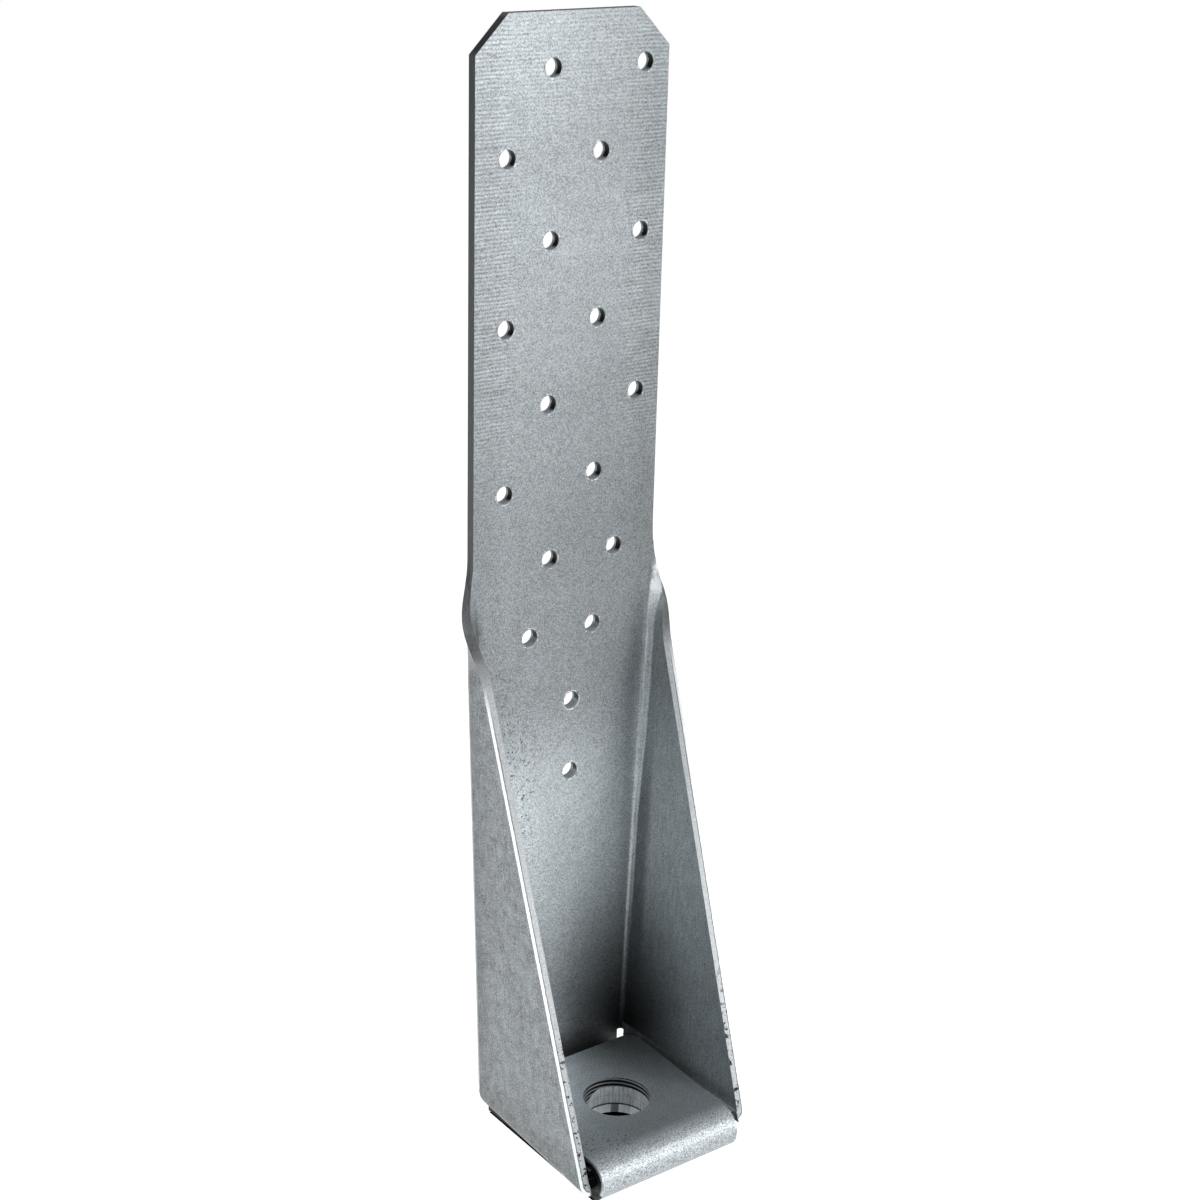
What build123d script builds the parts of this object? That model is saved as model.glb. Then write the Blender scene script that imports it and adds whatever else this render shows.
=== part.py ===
from build123d import *
from math import atan, copysign, cos, degrees, pi, radians, sin, sqrt, tan
import os

# A hold down bracket: one sheet of galvanised steel, cut flat and then folded into a strap,
# two side flanges and a seat of four plies. Sizes are in millimetres. X runs across the strap,
# the strap's back looks towards +Y, Z is up, and the origin is the middle of the underside.

# The sheet, and how tightly each fold is made
sheet = 2.9
ply_gap = 0.06
corner_inner_radius = 1.6
tab_inner_radius = 0.5
foot_inner_radius = 2.0

# Overall sizes
height = 314.3
depth = 61.0
foot_width = 54.9
flange_spread = 0.0324
strap_overhang = 2.75
strap_corner_cut = 9.8

# Side flanges: how far they stay open of square, the front edge, the shoulder where the fold
# fades out, the lower back corner
flange_opening = radians(2.25)
flange_setback = 1.75
shoulder_height = 166.5
fold_fade_below = 27.2
fold_fade_above = 1.9
shoulder_edge_radius = 45.0
flange_corner_radius = 6.0

# The folded seat, and the slots that free it from the flanges
seat_left_gap = 0.1
seat_right_gap = 0.15
seat_right_taper = radians(2)
seat_back_gap = 5.6
seat_corner_radius = 4.0
tab_back_gap = 5.4
tab_tip_gap = 0.7
tab_front_gap = 0.2
relief_height = 10.5
relief_top_radius = 2.8
relief_sweep = radians(71)

# Anchor bolt hole and nail holes
anchor_hole = 19.5
anchor_from_back = 33.6
nail_hole = 5.0
first_nail_row = 13.85
nail_row_pitch = 21.93
wide_row = (-6.6, 22.5)
offset_row = (-20.4, 9.0)
nail_rows = (wide_row, offset_row, wide_row, offset_row, wide_row, offset_row)
nail_rows += ((-5.3, 16.5), (-11.6, 9.7), (3.0,), (3.0,))
tilted_row = 5
row_tilt = 1.05

# Values that follow from the sizes above
back = depth / 2
strap_front = back - sheet
strap_width = foot_width + 2 * strap_overhang
corner_outer_radius = corner_inner_radius + sheet
tab_outer_radius = tab_inner_radius + sheet
foot_outer_radius = foot_inner_radius + sheet
full_fold = pi / 2 - flange_opening
corner_run = (corner_inner_radius + sheet / 2) * full_fold
flange_reach = depth - flange_setback
flange_tail = corner_outer_radius * cos(relief_sweep + flange_opening)
full_fold_height = shoulder_height - fold_fade_below
flat_height = shoulder_height + fold_fade_above
ply_step = sheet + ply_gap
seat_top = 3 * ply_step + sheet
seat_back = strap_front - seat_back_gap
roll_radius = seat_top / 2
roll_axis = back - depth + roll_radius
LEFT, RIGHT = -1, 1
tab_levels = {LEFT: ply_step, RIGHT: 2 * ply_step}
seat_gaps = {LEFT: seat_left_gap, RIGHT: seat_right_gap}

# The unfolded sheet narrows from the foot up to the strap, along the flanges' sloping edges
sheet_foot = foot_width / 2 - 2 * corner_outer_radius + corner_run + flange_reach
edge_slope = (sheet_foot - strap_width / 2) / shoulder_height
edge_arc_run = shoulder_edge_radius * tan(atan(edge_slope) / 2)
edge_arc_top = shoulder_height + edge_arc_run
edge_arc_bottom = shoulder_height - edge_arc_run * cos(atan(edge_slope))


def half_box(z):
    """From the middle to the outer face of a flange, at height z and next to its bend."""
    return foot_width / 2 + flange_spread * z


def bend_start(z):
    """From the middle to the line where the strap begins to turn into a flange."""
    return half_box(z) - corner_outer_radius


def flange_frame(side):
    """Where a flange is drawn: on the axis of its bend, turned outwards as the flange is."""
    axis = Pos(side * bend_start(0), back - corner_outer_radius, 0)
    return axis * Rot(0, 0, side * degrees(flange_opening))


def flange_face(z):
    """In a flange's frame, from the axis of its bend out to its outer face, at height z."""
    return corner_outer_radius + flange_spread * cos(flange_opening) * z


def flange_front(z):
    """In a flange's frame, from the axis of its bend forward to its front edge, at height z."""
    leg = sheet_edge(z) - bend_start(z) - corner_run
    return leg + flange_spread * sin(flange_opening) * z


def inside_flange(side, gap):
    """The space on the inner side of a flange at its foot, a gap away from its inner face."""
    across = Align.MAX if side > 0 else Align.MIN
    face = Pos(side * (corner_inner_radius - gap), 0, 0)
    room = Box(3 * foot_width, 4 * depth, 4 * seat_top, align=(across, Align.CENTER, Align.CENTER))
    return flange_frame(side) * face * room


def sheet_edge(z):
    """Half width of the unfolded sheet, rounded where the sloping edge meets the strap's."""
    if z >= edge_arc_top:
        return strap_width / 2
    if z <= edge_arc_bottom:
        return sheet_foot - edge_slope * z
    drop = edge_arc_top - z
    return strap_width / 2 + shoulder_edge_radius - sqrt(shoulder_edge_radius**2 - drop**2)


def fold_angle(z):
    """How far the sides are folded forward: nearly square low down, flat above the shoulder."""
    fade = (z - full_fold_height) / (flat_height - full_fold_height)
    fade = min(max(fade, 0), 1)
    return full_fold * (1 - fade * fade * (3 - 2 * fade))


def side_lines(z, side):
    """One folded side of the sheet at height z, as its front line and its back line. Each has
    the bend's start, middle and end, and the tip of the straight leg after it."""
    angle = fold_angle(z)
    edge_run = sheet_edge(z) - bend_start(z)
    full_run = sheet_edge(full_fold_height) - bend_start(full_fold_height)
    bend_run = corner_run if z <= full_fold_height else corner_run * edge_run / full_run
    leg = edge_run - bend_run
    lines = []
    for offset in (-sheet / 2, sheet / 2):
        x, y = bend_start(z), back - sheet / 2 + offset
        if angle > 0:
            radius = bend_run / angle + offset
            middle = (x + radius * sin(angle / 2), y - radius * (1 - cos(angle / 2)))
            end = (x + radius * sin(angle), y - radius * (1 - cos(angle)))
        else:
            middle = (x + bend_run / 2, y)
            end = (x + bend_run, y)
        tip = (end[0] + leg * cos(angle), end[1] - leg * sin(angle))
        lines.append([(side * px, py, z) for px, py in ((x, y), middle, end, tip)])
    return lines


def channel_section(z):
    """The whole cross-section of the sheet at height z, with its sides folded forward."""
    left_front, left_back = side_lines(z, LEFT)
    right_front, right_back = side_lines(z, RIGHT)
    edges = [Line(left_front[0], right_front[0]), Line(left_back[0], right_back[0])]
    edges += [Line(left_front[3], left_back[3]), Line(right_front[3], right_back[3])]
    for start, middle, end, tip in (left_front, left_back, right_front, right_back):
        folded = fold_angle(z) > 0
        edges.append(ThreePointArc(start, middle, end) if folded else Line(start, end))
        edges.append(Line(end, tip))
    return make_face(edges)


def channel():
    """Strap and flanges below the shoulder, where the folds are fully made."""
    bottom = channel_section(foot_outer_radius)
    top = channel_section(full_fold_height)
    return loft([bottom, top], ruled=True)


def shoulder():
    """Where the folds fade out: the sides open until they are flat, and flare a little."""
    steps = 8
    rise = (flat_height - full_fold_height) / steps
    return loft([channel_section(full_fold_height + rise * step) for step in range(steps + 1)])


def strap():
    """The flat strap above the shoulder, with its two upper corners cut off."""
    half = strap_width / 2
    arc_middle = (edge_arc_top + flat_height) / 2
    edges = []
    for side in (LEFT, RIGHT):
        arc_end = (side * half, edge_arc_top)
        low_corner = (side * half, height - strap_corner_cut)
        high_corner = (side * (half - strap_corner_cut), height)
        edges.append(
            ThreePointArc(
                (side * sheet_edge(flat_height), flat_height),
                (side * sheet_edge(arc_middle), arc_middle),
                arc_end,
            )
        )
        edges.append(Line(arc_end, low_corner))
        edges.append(Line(low_corner, high_corner))
    edges.append(Line((strap_corner_cut - half, height), (half - strap_corner_cut, height)))
    foot = sheet_edge(flat_height)
    edges.append(Line((-foot, flat_height), (foot, flat_height)))
    return Pos(0, back, 0) * extrude(Plane.XZ * make_face(edges), amount=sheet)


def under_side(side):
    """The space below a flange's flat side, which the fold of its tab takes up."""
    fold_top = tab_levels[side] + tab_outer_radius
    inner = bend_start(fold_top)
    across = Align.MIN if side > 0 else Align.MAX
    return Pos(side * inner, 0, 0) * Box(
        foot_width, 2 * depth, fold_top, align=(across, Align.CENTER, Align.MIN)
    )


def tab_room(side):
    """What a tab's flat part may fill: from behind the roll to a gap in front of the strap, and
    up to the bend of the other flange."""
    tab_back = strap_front - tab_back_gap
    tab_front = roll_axis + tab_front_gap
    band = Pos(0, tab_front, 0) * Box(
        3 * foot_width,
        tab_back - tab_front,
        4 * seat_top,
        align=(Align.CENTER, Align.MIN, Align.CENTER),
    )
    return band & inside_flange(-side, tab_inner_radius + tab_tip_gap)


def tab(side):
    """A flange's lower edge, folded inwards as one ply of the seat."""
    level = tab_levels[side]
    top = level + tab_outer_radius + sheet / 2
    outer_corner = (side * flange_face(level), level)
    inner_corner = (side * (flange_face(level + sheet) - sheet), level + sheet)
    outline = Polyline(
        (-side * foot_width, level),
        outer_corner,
        (side * flange_face(top), top),
        (side * (flange_face(top) - sheet), top),
        inner_corner,
        (-side * foot_width, level + sheet),
        close=True,
    )
    section = make_face(outline)
    section = fillet(section.vertices().sort_by_distance(outer_corner)[0], tab_outer_radius)
    section = fillet(section.vertices().sort_by_distance(inner_corner)[0], tab_inner_radius)
    body = Pos(0, flange_tail, 0) * extrude(Plane.XZ * section, amount=depth)

    side_view = Polyline(
        (flange_tail, level),
        (-flange_front(level), level),
        (-flange_front(top), top),
        (flange_tail, top),
        close=True,
    )
    body &= extrude(Plane.YZ * make_face(side_view), amount=2 * foot_width, both=True)
    return flange_frame(side) * body - (inside_flange(side, 0) - tab_room(side))


def flange_corner(side):
    """What is cut off a flange's lower back corner to round it."""
    level = tab_levels[side]
    radius = flange_corner_radius
    across = Align.MIN if side > 0 else Align.MAX
    corner = flange_frame(side) * Pos(side * corner_inner_radius, flange_tail, level)
    square = corner * Box(2 * sheet, radius, radius, align=(across, Align.MAX, Align.MIN))
    rounding = corner * Pos(0, -radius, radius) * Rot(0, 90, 0) * Cylinder(radius, 4 * sheet)
    return square - rounding


def seat_side(side):
    """Where the seat's back edge ends, a gap away from the inner face of a flange."""
    inner_face = half_box(seat_top - sheet) - sheet
    return side * (inner_face - seat_gaps[side])


def seat_outline():
    """The side view of the strap's foot: the bend at the back, the bottom ply, the roll at the
    front and the top ply."""
    outer_bend = foot_outer_radius * (1 - sin(pi / 4))
    inner_bend = foot_outer_radius - foot_inner_radius * sin(pi / 4)
    inner_roll = roll_radius - sheet
    top_underside = seat_top - sheet
    foot_start = back - foot_outer_radius
    return [
        ThreePointArc((back, foot_outer_radius), (back - outer_bend, outer_bend), (foot_start, 0)),
        Line((foot_start, 0), (roll_axis, 0)),
        ThreePointArc(
            (roll_axis, 0), (roll_axis - roll_radius, roll_radius), (roll_axis, seat_top)
        ),
        Line((roll_axis, seat_top), (seat_back, seat_top)),
        Line((seat_back, seat_top), (seat_back, top_underside)),
        Line((seat_back, top_underside), (roll_axis, top_underside)),
        ThreePointArc(
            (roll_axis, top_underside), (roll_axis - inner_roll, roll_radius), (roll_axis, sheet)
        ),
        Line((roll_axis, sheet), (foot_start, sheet)),
        ThreePointArc(
            (foot_start, sheet),
            (back - inner_bend, inner_bend),
            (strap_front, foot_outer_radius),
        ),
        Line((strap_front, foot_outer_radius), (back, foot_outer_radius)),
    ]


def seat():
    """The strap's foot: folded forward under the tabs, rolled at the front and brought back
    over them as the seat's top ply. It narrows a little towards the front, on the right."""
    profile = make_face(seat_outline())
    body = Pos(seat_side(LEFT), 0, 0) * extrude(Plane.YZ * profile, amount=foot_width)
    right_edge = Pos(seat_side(RIGHT), seat_back, 0) * Rot(0, 0, -degrees(seat_right_taper))
    across = (Align.MIN, Align.CENTER, Align.CENTER)
    body -= right_edge * Box(2 * foot_width, 4 * depth, 4 * seat_top, align=across)
    return fillet(body.edges().filter_by(Axis.Z), seat_corner_radius)


def relief(side):
    """The round-topped slot at a lower back corner. It takes out the first part of the fold,
    so that the seat can fold one way and the flange another."""
    reach = 2 * corner_outer_radius
    wedge = Polyline(
        (0, 0),
        (0, reach),
        (side * reach, reach),
        (side * reach * sin(relief_sweep), reach * cos(relief_sweep)),
        close=True,
    )
    prism = extrude(make_face(wedge), amount=relief_height)
    straight = relief_height - relief_top_radius
    width = 2 * relief_top_radius
    slot = Pos(0, 0, straight) * Rot(90, 0, 0) * Cylinder(relief_top_radius, 2 * reach)
    slot += Box(width, 2 * reach, straight, align=(Align.CENTER, Align.CENTER, Align.MIN))
    middle = Rot(0, 0, -side * degrees(relief_sweep) / 2)
    bend_middle = Pos(side * bend_start(relief_height / 2), back - corner_outer_radius, 0)
    return bend_middle * (prism & middle * slot)


def nail_places():
    """The middle of every nail hole, from the top row down."""
    places = []
    for row, columns in enumerate(nail_rows):
        z = height - first_nail_row - row * nail_row_pitch
        tilt = row_tilt if row == tilted_row else 0
        places += [(x, z + copysign(tilt, x)) for x in columns]
    return places


def bracket():
    """The finished bracket, as one solid."""
    folded = channel()
    for side in (LEFT, RIGHT):
        folded -= under_side(side)
    folded += seat()
    for side in (LEFT, RIGHT):
        folded += tab(side)
        folded -= flange_corner(side)
        folded -= relief(side)
    folded += shoulder()
    folded += strap()
    for x, z in nail_places():
        folded -= Pos(x, back, z) * Rot(90, 0, 0) * Cylinder(nail_hole / 2, 4 * sheet)
    anchor_y = back - anchor_from_back
    folded -= Pos(0, anchor_y, 0) * Cylinder(anchor_hole / 2, 4 * seat_top)
    return folded


os.makedirs("parts", exist_ok=True)
part = bracket()
export_step(part, "parts/bracket.step")
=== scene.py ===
# %% [markdown]
# A hold down bracket ties a post to the concrete below it. It is one sheet of galvanised
# steel, about 3 mm thick, cut and punched flat and then folded: a tall strap that is nailed
# to the post, two sloping side flanges, and a seat of four plies that takes an anchor bolt.
# The solid model already has every fold and hole. Here it gets what a solid model lacks:
# arrises rounded as a press leaves them, sheared edges that differ from the rolled faces,
# and a zinc coat with its fine grain.

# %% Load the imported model
import math

import bmesh
import bpy
from mathutils import Matrix, Vector


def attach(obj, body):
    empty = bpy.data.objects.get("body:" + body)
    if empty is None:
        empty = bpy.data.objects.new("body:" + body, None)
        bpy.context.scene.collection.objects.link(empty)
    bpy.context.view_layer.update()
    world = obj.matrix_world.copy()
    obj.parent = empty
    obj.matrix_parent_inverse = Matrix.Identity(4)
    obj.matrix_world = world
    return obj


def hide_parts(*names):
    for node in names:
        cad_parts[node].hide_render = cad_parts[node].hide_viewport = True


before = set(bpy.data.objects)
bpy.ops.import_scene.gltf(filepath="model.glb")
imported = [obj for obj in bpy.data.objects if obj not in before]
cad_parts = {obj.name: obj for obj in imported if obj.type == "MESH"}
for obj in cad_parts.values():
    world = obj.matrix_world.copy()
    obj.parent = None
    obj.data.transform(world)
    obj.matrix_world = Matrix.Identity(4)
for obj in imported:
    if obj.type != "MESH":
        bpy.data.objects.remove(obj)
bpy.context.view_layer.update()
MM = 0.001

# %% [markdown]
# The photograph looks down on the bracket from its front left. The camera's place, its turn
# and its focal length were found by matching the drawn outline and holes to the picture, so
# they are plain numbers here. The horizon isn't quite level: the camera is rolled 1.5 degrees.

# %% Camera
CAMERA_PLACE = Vector((-329.667, -428.060, 369.122)) * MM
CAMERA_TURN = -0.64381
CAMERA_DOWN = 0.36212
CAMERA_ROLL = 0.02610
FOCAL_PIXELS = 2172.74
PICTURE_PIXELS = 1200
SENSOR = 36

level_right = Vector((math.cos(CAMERA_TURN), math.sin(CAMERA_TURN), 0))
forward = Vector((
    -math.sin(CAMERA_TURN) * math.cos(CAMERA_DOWN),
    math.cos(CAMERA_TURN) * math.cos(CAMERA_DOWN),
    -math.sin(CAMERA_DOWN),
))
level_down = forward.cross(level_right)
right = math.cos(CAMERA_ROLL) * level_right - math.sin(CAMERA_ROLL) * level_down
down = math.sin(CAMERA_ROLL) * level_right + math.cos(CAMERA_ROLL) * level_down

camera_data = bpy.data.cameras.new("camera")
camera_data.sensor_width = SENSOR
camera_data.lens = FOCAL_PIXELS / PICTURE_PIXELS * SENSOR
camera = bpy.data.objects.new("camera", camera_data)
turn = Matrix((right, -down, -forward)).transposed().to_4x4()
camera.matrix_world = Matrix.Translation(CAMERA_PLACE) @ turn
bpy.context.scene.collection.objects.link(camera)
bpy.context.scene.camera = camera
print("focal length, mm:", round(camera_data.lens, 2))

# %% [markdown]
# The solid comes as loose triangles. A copy of it is merged into one closed skin, and
# triangles that lie in one plane are joined, so that the arrises can be rounded later
# without disturbing the flat faces.

# %% One closed skin from the solid
MERGE_DISTANCE = 0.004 * MM
SAME_PLANE = math.radians(0.4)

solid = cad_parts["bracket"]
mesh = solid.data.copy()
mesh.name = "bracket_sheet"
mesh.materials.clear()
work = bmesh.new()
work.from_mesh(mesh)
bmesh.ops.remove_doubles(work, verts=work.verts, dist=MERGE_DISTANCE)
bmesh.ops.dissolve_limit(
    work, angle_limit=SAME_PLANE, verts=work.verts, edges=work.edges, delimit={"NORMAL"}
)
open_edges = sum(not e.is_manifold for e in work.edges)
print("skin:", len(work.verts), "corners,", len(work.faces), "faces,", open_edges, "open edges")

# %% [markdown]
# A sheet has two skins and a cut edge between them. Walking from face to face over soft
# edges only, never over an arris, finds the whole outer skin from one face of the strap's
# back, through every fold. The inner skin is found the same way from the strap's front.
# What is left was cut: the outline, the slots and the walls of the holes.

# %% Find the two skins and the cut faces
ARRIS_ANGLE = math.radians(66)
ABOVE_SHOULDER = 180 * MM
STRAIGHT_ON = 0.999


def walk(start):
    """All faces that can be reached from one face without crossing an arris."""
    found, waiting = {start}, [start]
    while waiting:
        face = waiting.pop()
        for edge in face.edges:
            if edge.is_manifold and edge.calc_face_angle() < ARRIS_ANGLE:
                for other in edge.link_faces:
                    if other not in found:
                        found.add(other)
                        waiting.append(other)
    return found


back_y = max(v.co.y for v in work.verts)
upright = [
    f for f in work.faces
    if abs(f.normal.y) > STRAIGHT_ON and f.calc_center_median().z > ABOVE_SHOULDER
]
outer_skin = walk(max((f for f in upright if f.normal.y > 0), key=lambda f: f.calc_area()))
inner_skin = walk(max((f for f in upright if f.normal.y < 0), key=lambda f: f.calc_area()))
cut = set(work.faces) - outer_skin - inner_skin
print("outer skin", len(outer_skin), "inner skin", len(inner_skin), "cut", len(cut))
print("skins kept apart:", not (outer_skin & inner_skin))
for name, faces in (("outer", outer_skin), ("inner", inner_skin), ("cut", cut)):
    print(name, "area, cm2:", round(sum(f.calc_area() for f in faces) * 1e4, 1))

# %% [markdown]
# The finishes need to know how deep a point lies in the sheet: 0 on the outer skin, 1 on the
# inner one. Each corner of the skin lies on one of the two, so the value is written on the
# corners, and across a cut face it runs from 0 to 1 by itself.

# %% Write the depth in the sheet on every corner
depth_layer = work.verts.layers.float.new("depth")
for face in inner_skin:
    for corner in face.verts:
        corner[depth_layer] = 1.0
print("corners on the inner skin:", sum(v[depth_layer] > 0 for v in work.verts))

# %% [markdown]
# Three tools cut the sheet, and each leaves its own kind of face: the shear along the
# outline, a round punch at each nail hole, and the large punch of the anchor hole. A nail
# hole's wall is made of narrow faces in the strap that look straight across the hole.

# %% Tell the cut faces apart
ROLLED, SHEARED, PUNCHED, BORED = range(4)
BORE_MIDDLE = Vector((0, -3.1)) * MM
BORE_RADIUS = 9.75 * MM
NAIL_RADIUS = 2.5 * MM
STRAP_THICKNESS = 3 * MM
NARROW = 1.6 * MM
ACROSS_THE_HOLE = 0.99
NAIL_HOLES_TOP = 310 * MM
NAIL_HOLES_SIDE = 26 * MM
BESIDE = 0.1 * MM


def kind_of_cut(face):
    """Which tool made a cut face: the shear, a nail punch, or the anchor hole's punch."""
    middle = face.calc_center_median()
    if (middle.xy - BORE_MIDDLE).length < BORE_RADIUS + BESIDE:
        return BORED
    points = [corner.co for corner in face.verts]
    across = max((a.xz - b.xz).length for a in points for b in points)
    in_strap = min(p.y for p in points) > back_y - STRAP_THICKNESS
    of_a_wall = face.normal.xz.length > ACROSS_THE_HOLE and in_strap and across < NARROW
    among_holes = middle.z < NAIL_HOLES_TOP and abs(middle.x) < NAIL_HOLES_SIDE
    return PUNCHED if of_a_wall and among_holes else SHEARED


for face in work.faces:
    face.material_index = kind_of_cut(face) if face in cut else ROLLED
    face.smooth = True
counts = [sum(f.material_index == kind for f in work.faces) for kind in range(4)]
print("faces rolled, sheared, punched, bored:", counts)

# %% [markdown]
# The nail holes are counted by walking round each wall. Their middles are kept for the burrs
# that come later, and their corners are marked, so that the worn arris can tell a hole's rim
# from the rest. A set of faces has no order of its own, so the faces are added up by their
# numbers and the holes are put in order by rounded places: each run then gives the same list.

# %% Find the nail holes
rim_layer = work.verts.layers.float.new("hole_rim")
work.faces.index_update()
nail_holes, walls = [], {f for f in work.faces if f.material_index == PUNCHED}
while walls:
    wall = walk(walls.pop())
    walls -= wall
    corners = {c for f in wall for c in f.verts}
    for corner in corners:
        corner[rim_layer] = 1.0
    in_order = sorted(wall, key=lambda f: f.index)
    middle = sum((f.calc_center_median() for f in in_order), Vector()) / len(wall)
    nail_holes.append((middle.x, min(c.co.y for c in corners), middle.z))
nail_holes.sort(key=lambda hole: (round(hole[0] / MM, 1), hole[2]))
print("nail holes:", len(nail_holes))

# %% [markdown]
# No press leaves a knife edge. Every arris is rounded by a third of a millimetre, which is
# what catches the light along the strap's edge and around each hole. A bevel with two steps
# is enough at this size, and weighted normals keep the flat faces flat.

# %% Round the arrises
ARRIS_RADIUS = 0.35 * MM

arris_layer = work.edges.layers.float.new("bevel_weight_edge")
arrises = [e for e in work.edges if e.calc_face_angle() >= ARRIS_ANGLE]
for edge in arrises:
    edge[arris_layer] = 1.0
print("arrises:", len(arrises), "length, m:", round(sum(e.calc_length() for e in arrises), 2))
work.to_mesh(mesh)
work.free()

sheet = bpy.data.objects.new("bracket_sheet", mesh)
bpy.context.scene.collection.objects.link(sheet)
rounding = sheet.modifiers.new("rounded arrises", "BEVEL")
rounding.limit_method = "WEIGHT"
rounding.width = ARRIS_RADIUS
rounding.segments = 2
rounding.loop_slide = True
rounding.use_clamp_overlap = True
smoothing = sheet.modifiers.new("flat faces stay flat", "WEIGHTED_NORMAL")
smoothing.keep_sharp = True

# %% [markdown]
# Every finish here is built from nodes. One helper adds a node with its settings and its
# inputs. A tuple fills the inputs in their order, and a dictionary fills them by name. Each
# is a plain value, a socket, or another node, which then gives its first output. A second
# helper turns an sRGB hex colour, as a paint chart gives it, into the linear values that
# Blender works in. A third starts a material, with the place on the bracket in millimetres,
# so every length in a finish is in millimetres too.
#
# A STEP node with SMOOTH takes a value, where the step starts and ends, and what it rises or
# falls from and to, which is 0 to 1 where it isn't given.

# %% Helpers for the finishes
MATH, VECTOR, MIX = "ShaderNodeMath", "ShaderNodeVectorMath", "ShaderNodeMix"
NOISE, STEP = "ShaderNodeTexNoise", "ShaderNodeMapRange"
SMOOTH = {"interpolation_type": "SMOOTHSTEP"}


def add(tree, kind, inputs=(), **settings):
    """Adds one node, applies its settings, and fills its inputs with values or links."""
    node = tree.nodes.new(kind)
    for name, value in settings.items():
        setattr(node, name, value)
    for socket, value in inputs.items() if isinstance(inputs, dict) else enumerate(inputs):
        if isinstance(value, bpy.types.Node):
            value = value.outputs[0]
        if isinstance(value, bpy.types.NodeSocket):
            tree.links.new(value, node.inputs[socket])
        else:
            node.inputs[socket].default_value = value
    return node


def linear(hex_colour):
    """An sRGB hex colour as linear red, green and blue."""
    values = [int(hex_colour[i:i + 2], 16) / 255 for i in (1, 3, 5)]
    return [v / 12.92 if v <= 0.04045 else ((v + 0.055) / 1.055) ** 2.4 for v in values]


def new_finish(name):
    """An empty material, its tree, and the place on the bracket in mm, whole and as x, y, z."""
    material = bpy.data.materials.new(name)
    material.use_nodes = True
    tree = material.node_tree
    tree.nodes.clear()
    metres = add(tree, "ShaderNodeTexCoord").outputs["Object"]
    place = add(tree, VECTOR, {0: metres, "Scale": 1 / MM}, operation="SCALE")
    return material, tree, place, add(tree, "ShaderNodeSeparateXYZ", (place,)).outputs


# %% [markdown]
# Hot-dip galvanised sheet is cold-rolled steel drawn through molten zinc. On a thin zinc coat
# the spangles are too small to see, and what the eye gets is a soft, slightly blue grey with
# a fine sandy grain, cloudy here and there, that mirrors only blurred light. A metal shader
# gives that, with a small matt share for the oxide that a zinc coat grows.
#
# The grain is drawn 0.4 mm wide, which is as fine as the picture can show. It changes the
# tone and dents the surface, so it sparkles on the rolled fold in front, where the light
# grazes it. The rolls also leave fine lines across the sheet, a millimetre apart, and the
# brake's dies leave scratches up the flanges.

# %% The zinc coat's grain
GRAIN, MOTTLE, CLOUD = 0.42, 3.5, 20
SCRATCH_WIDTH, SCRATCH_LENGTH = 0.9, 7
LINE_APART, LINE_WANDER, WOBBLE, DASH = 1.05, 0.9, 3, 1.6

rolled, tree, place, (x, y, z) = new_finish("galvanised_sheet")
grain = add(
    tree, NOISE, {"Vector": place, "Scale": 1 / GRAIN, "Detail": 2, "Roughness": 0.6},
)
mottle = add(
    tree, NOISE, {"Vector": place, "Scale": 1 / MOTTLE, "Detail": 3, "Roughness": 0.6},
)
cloud = add(
    tree, NOISE, {"Vector": place, "Scale": 1 / CLOUD, "Detail": 4, "Roughness": 0.6},
)
long_upright = add(tree, VECTOR, (place, (1, 1, SCRATCH_LENGTH)), operation="DIVIDE")
scratch = add(
    tree, NOISE,
    {"Vector": long_upright, "Scale": 1 / SCRATCH_WIDTH, "Detail": 1, "Roughness": 0.6},
)
across = add(tree, VECTOR, (place, (3, 3, 1)), operation="DIVIDE")
wobble = add(
    tree, NOISE, {"Vector": across, "Scale": 1 / WOBBLE, "Detail": 1, "Roughness": 0.6},
)
long_across = add(tree, VECTOR, (place, (5, 5, 1)), operation="DIVIDE")
dashes = add(
    tree, NOISE, {"Vector": long_across, "Scale": 1 / DASH, "Detail": 1, "Roughness": 0.6},
)
roll_line = add(tree, MATH, (wobble, LINE_WANDER, z), operation="MULTIPLY_ADD")
roll_line = add(tree, MATH, (roll_line, 2 * math.pi / LINE_APART), operation="MULTIPLY")
roll_line = add(tree, MATH, (roll_line,), operation="SINE")
roll_line = add(tree, MATH, (roll_line, 0.5, 0.5), operation="MULTIPLY_ADD")
roll_line = add(tree, MATH, (roll_line, dashes), operation="MULTIPLY")
print("galvanised sheet, mm: grain", GRAIN, "clouds", CLOUD, "roll lines apart", LINE_APART)

# %% [markdown]
# The coat isn't even all over, and the painted light and shade differ from part to part, so
# the parts of the bracket need to be told apart. The place gives the strap, the flanges and the
# seat, and the direction that a face looks in gives the inner and the outer side of a flange.

# %% Where each part of the bracket is
normal = add(tree, "ShaderNodeNewGeometry").outputs["Normal"]
facing = add(tree, "ShaderNodeSeparateXYZ", (normal,)).outputs
from_middle = add(tree, MATH, (x,), operation="ABSOLUTE")
in_strap = add(tree, STEP, (y, 26.6, 27.2), **SMOOTH)
beside = add(tree, STEP, (from_middle, 25.5, 26.5), **SMOOTH)
in_flange = add(tree, MATH, (beside, in_strap), operation="SUBTRACT")
in_flange = add(tree, MATH, (in_flange, 0), operation="MAXIMUM")
outwards = add(tree, MATH, (x, facing["X"]), operation="MULTIPLY")
outwards = add(tree, STEP, (outwards, -4, 4), **SMOOTH)
inwards = add(tree, MATH, (1, outwards), operation="SUBTRACT")
inner_side = add(tree, MATH, (in_flange, inwards), operation="MULTIPLY")
outer_side = add(tree, MATH, (in_flange, outwards), operation="MULTIPLY")
in_seat = add(tree, MATH, (in_strap, in_flange), operation="MAXIMUM")
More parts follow.
